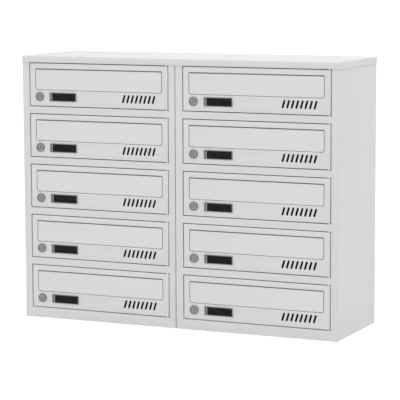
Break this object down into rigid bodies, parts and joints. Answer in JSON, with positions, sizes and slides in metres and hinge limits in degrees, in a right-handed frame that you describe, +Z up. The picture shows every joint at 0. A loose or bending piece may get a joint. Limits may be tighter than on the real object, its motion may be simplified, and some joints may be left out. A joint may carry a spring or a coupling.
{
  "type": "letterbox bank",
  "caption": "Free-standing sheet-steel letterbox bank with side-hung locking doors, sprung letter flaps, name plates and view slots under one cap.",
  "frame": {"origin": "middle of the underside of the bank's outer box, on the line between the two columns", "axes": "+X to the right seen from the front, +Y to the back, +Z up"},
  "size_m": [0.8034, 0.252, 0.628],
  "materials": {
    "body_paint": "light grey textured powder coat on folded steel",
    "door_paint": "light grey textured powder coat on folded steel",
    "flap_paint": "light grey textured powder coat, with a zinc-plated rod and spring",
    "zinc_plate": "zinc-plated steel",
    "lock_chrome": "dark dull chrome on die-cast zinc",
    "cam_zinc": "zinc-plated steel cam and die-cast plug",
    "plate_black": "black moulded frame and card under a clear window",
    "plate_window": "clear plastic window"
  },
  "bodies": {
    "cabinet": {"left_shell": "body_paint", "right_shell": "body_paint", "left_back_panel": "body_paint", "right_back_panel": "body_paint", "left_shelves": "body_paint", "right_shelves": "body_paint", "base_and_top_panels": "body_paint", "top_cap": "body_paint", "hinge_pins": "zinc_plate", "bolts_and_nuts": "zinc_plate"},
    "door_1": {"door_1": "door_paint", "lock_case_1": "lock_chrome", "name_plate_1": "plate_black"},
    "flap_1": {"flap_1": "flap_paint"},
    "lock_cam_1": {"lock_cam_1": "cam_zinc"},
    "door_2": {"door_2": "door_paint", "lock_case_2": "lock_chrome", "name_plate_2": "plate_black"},
    "flap_2": {"flap_2": "flap_paint"},
    "lock_cam_2": {"lock_cam_2": "cam_zinc"},
    "door_3": {"door_3": "door_paint", "lock_case_3": "lock_chrome", "name_plate_3": "plate_black"},
    "flap_3": {"flap_3": "flap_paint"},
    "lock_cam_3": {"lock_cam_3": "cam_zinc"},
    "door_4": {"door_4": "door_paint", "lock_case_4": "lock_chrome", "name_plate_4": "plate_black"},
    "flap_4": {"flap_4": "flap_paint"},
    "lock_cam_4": {"lock_cam_4": "cam_zinc"},
    "door_5": {"door_5": "door_paint", "lock_case_5": "lock_chrome", "name_plate_5": "plate_black"},
    "flap_5": {"flap_5": "flap_paint"},
    "lock_cam_5": {"lock_cam_5": "cam_zinc"},
    "door_6": {"door_6": "door_paint", "lock_case_6": "lock_chrome", "name_plate_6": "plate_black"},
    "flap_6": {"flap_6": "flap_paint"},
    "lock_cam_6": {"lock_cam_6": "cam_zinc"},
    "door_7": {"door_7": "door_paint", "lock_case_7": "lock_chrome", "name_plate_7": "plate_black"},
    "flap_7": {"flap_7": "flap_paint"},
    "lock_cam_7": {"lock_cam_7": "cam_zinc"},
    "door_8": {"door_8": "door_paint", "lock_case_8": "lock_chrome", "name_plate_8": "plate_black"},
    "flap_8": {"flap_8": "flap_paint"},
    "lock_cam_8": {"lock_cam_8": "cam_zinc"},
    "door_9": {"door_9": "door_paint", "lock_case_9": "lock_chrome", "name_plate_9": "plate_black"},
    "flap_9": {"flap_9": "flap_paint"},
    "lock_cam_9": {"lock_cam_9": "cam_zinc"},
    "door_10": {"door_10": "door_paint", "lock_case_10": "lock_chrome", "name_plate_10": "plate_black"},
    "flap_10": {"flap_10": "flap_paint"},
    "lock_cam_10": {"lock_cam_10": "cam_zinc"}
  },
  "joints": [
    {"name": "door_1_hinge", "type": "hinge", "parent": "cabinet", "child": "door_1", "pos_m": [-0.0223, -0.12, 0.5603], "axis": [0, 0, 1], "range_deg": [0, 100]},
    {"name": "flap_1_swing", "type": "hinge", "parent": "door_1", "child": "flap_1", "pos_m": [-0.19925, -0.1195, 0.592], "axis": [1, 0, 0], "range_deg": [0, 75], "stiffness_Nm_per_rad": 0.02, "springref_deg": -68.75},
    {"name": "lock_1_turn", "type": "hinge", "parent": "door_1", "child": "lock_cam_1", "pos_m": [-0.3537, -0.1114, 0.5318], "axis": [0, 1, 0], "range_deg": [0, 90]},
    {"name": "door_2_hinge", "type": "hinge", "parent": "cabinet", "child": "door_2", "pos_m": [-0.0223, -0.12, 0.4393], "axis": [0, 0, 1], "range_deg": [0, 100]},
    {"name": "flap_2_swing", "type": "hinge", "parent": "door_2", "child": "flap_2", "pos_m": [-0.19925, -0.1195, 0.471], "axis": [1, 0, 0], "range_deg": [0, 75], "stiffness_Nm_per_rad": 0.02, "springref_deg": -68.75},
    {"name": "lock_2_turn", "type": "hinge", "parent": "door_2", "child": "lock_cam_2", "pos_m": [-0.3537, -0.1114, 0.4108], "axis": [0, 1, 0], "range_deg": [0, 90]},
    {"name": "door_3_hinge", "type": "hinge", "parent": "cabinet", "child": "door_3", "pos_m": [-0.0223, -0.12, 0.3183], "axis": [0, 0, 1], "range_deg": [0, 100]},
    {"name": "flap_3_swing", "type": "hinge", "parent": "door_3", "child": "flap_3", "pos_m": [-0.19925, -0.1195, 0.35], "axis": [1, 0, 0], "range_deg": [0, 75], "stiffness_Nm_per_rad": 0.02, "springref_deg": -68.75},
    {"name": "lock_3_turn", "type": "hinge", "parent": "door_3", "child": "lock_cam_3", "pos_m": [-0.3537, -0.1114, 0.2898], "axis": [0, 1, 0], "range_deg": [0, 90]},
    {"name": "door_4_hinge", "type": "hinge", "parent": "cabinet", "child": "door_4", "pos_m": [-0.0223, -0.12, 0.1973], "axis": [0, 0, 1], "range_deg": [0, 100]},
    {"name": "flap_4_swing", "type": "hinge", "parent": "door_4", "child": "flap_4", "pos_m": [-0.19925, -0.1195, 0.229], "axis": [1, 0, 0], "range_deg": [0, 75], "stiffness_Nm_per_rad": 0.02, "springref_deg": -68.75},
    {"name": "lock_4_turn", "type": "hinge", "parent": "door_4", "child": "lock_cam_4", "pos_m": [-0.3537, -0.1114, 0.1688], "axis": [0, 1, 0], "range_deg": [0, 90]},
    {"name": "door_5_hinge", "type": "hinge", "parent": "cabinet", "child": "door_5", "pos_m": [-0.0223, -0.12, 0.0763], "axis": [0, 0, 1], "range_deg": [0, 100]},
    {"name": "flap_5_swing", "type": "hinge", "parent": "door_5", "child": "flap_5", "pos_m": [-0.19925, -0.1195, 0.108], "axis": [1, 0, 0], "range_deg": [0, 75], "stiffness_Nm_per_rad": 0.02, "springref_deg": -68.75},
    {"name": "lock_5_turn", "type": "hinge", "parent": "door_5", "child": "lock_cam_5", "pos_m": [-0.3537, -0.1114, 0.0478], "axis": [0, 1, 0], "range_deg": [0, 90]},
    {"name": "door_6_hinge", "type": "hinge", "parent": "cabinet", "child": "door_6", "pos_m": [0.3787, -0.12, 0.5603], "axis": [0, 0, 1], "range_deg": [0, 100]},
    {"name": "flap_6_swing", "type": "hinge", "parent": "door_6", "child": "flap_6", "pos_m": [0.20175, -0.1195, 0.592], "axis": [1, 0, 0], "range_deg": [0, 75], "stiffness_Nm_per_rad": 0.02, "springref_deg": -68.75},
    {"name": "lock_6_turn", "type": "hinge", "parent": "door_6", "child": "lock_cam_6", "pos_m": [0.0473, -0.1114, 0.5318], "axis": [0, 1, 0], "range_deg": [0, 90]},
    {"name": "door_7_hinge", "type": "hinge", "parent": "cabinet", "child": "door_7", "pos_m": [0.3787, -0.12, 0.4393], "axis": [0, 0, 1], "range_deg": [0, 100]},
    {"name": "flap_7_swing", "type": "hinge", "parent": "door_7", "child": "flap_7", "pos_m": [0.20175, -0.1195, 0.471], "axis": [1, 0, 0], "range_deg": [0, 75], "stiffness_Nm_per_rad": 0.02, "springref_deg": -68.75},
    {"name": "lock_7_turn", "type": "hinge", "parent": "door_7", "child": "lock_cam_7", "pos_m": [0.0473, -0.1114, 0.4108], "axis": [0, 1, 0], "range_deg": [0, 90]},
    {"name": "door_8_hinge", "type": "hinge", "parent": "cabinet", "child": "door_8", "pos_m": [0.3787, -0.12, 0.3183], "axis": [0, 0, 1], "range_deg": [0, 100]},
    {"name": "flap_8_swing", "type": "hinge", "parent": "door_8", "child": "flap_8", "pos_m": [0.20175, -0.1195, 0.35], "axis": [1, 0, 0], "range_deg": [0, 75], "stiffness_Nm_per_rad": 0.02, "springref_deg": -68.75},
    {"name": "lock_8_turn", "type": "hinge", "parent": "door_8", "child": "lock_cam_8", "pos_m": [0.0473, -0.1114, 0.2898], "axis": [0, 1, 0], "range_deg": [0, 90]},
    {"name": "door_9_hinge", "type": "hinge", "parent": "cabinet", "child": "door_9", "pos_m": [0.3787, -0.12, 0.1973], "axis": [0, 0, 1], "range_deg": [0, 100]},
    {"name": "flap_9_swing", "type": "hinge", "parent": "door_9", "child": "flap_9", "pos_m": [0.20175, -0.1195, 0.229], "axis": [1, 0, 0], "range_deg": [0, 75], "stiffness_Nm_per_rad": 0.02, "springref_deg": -68.75},
    {"name": "lock_9_turn", "type": "hinge", "parent": "door_9", "child": "lock_cam_9", "pos_m": [0.0473, -0.1114, 0.1688], "axis": [0, 1, 0], "range_deg": [0, 90]},
    {"name": "door_10_hinge", "type": "hinge", "parent": "cabinet", "child": "door_10", "pos_m": [0.3787, -0.12, 0.0763], "axis": [0, 0, 1], "range_deg": [0, 100]},
    {"name": "flap_10_swing", "type": "hinge", "parent": "door_10", "child": "flap_10", "pos_m": [0.20175, -0.1195, 0.108], "axis": [1, 0, 0], "range_deg": [0, 75], "stiffness_Nm_per_rad": 0.02, "springref_deg": -68.75},
    {"name": "lock_10_turn", "type": "hinge", "parent": "door_10", "child": "lock_cam_10", "pos_m": [0.0473, -0.1114, 0.0478], "axis": [0, 1, 0], "range_deg": [0, 90]}
  ]
}
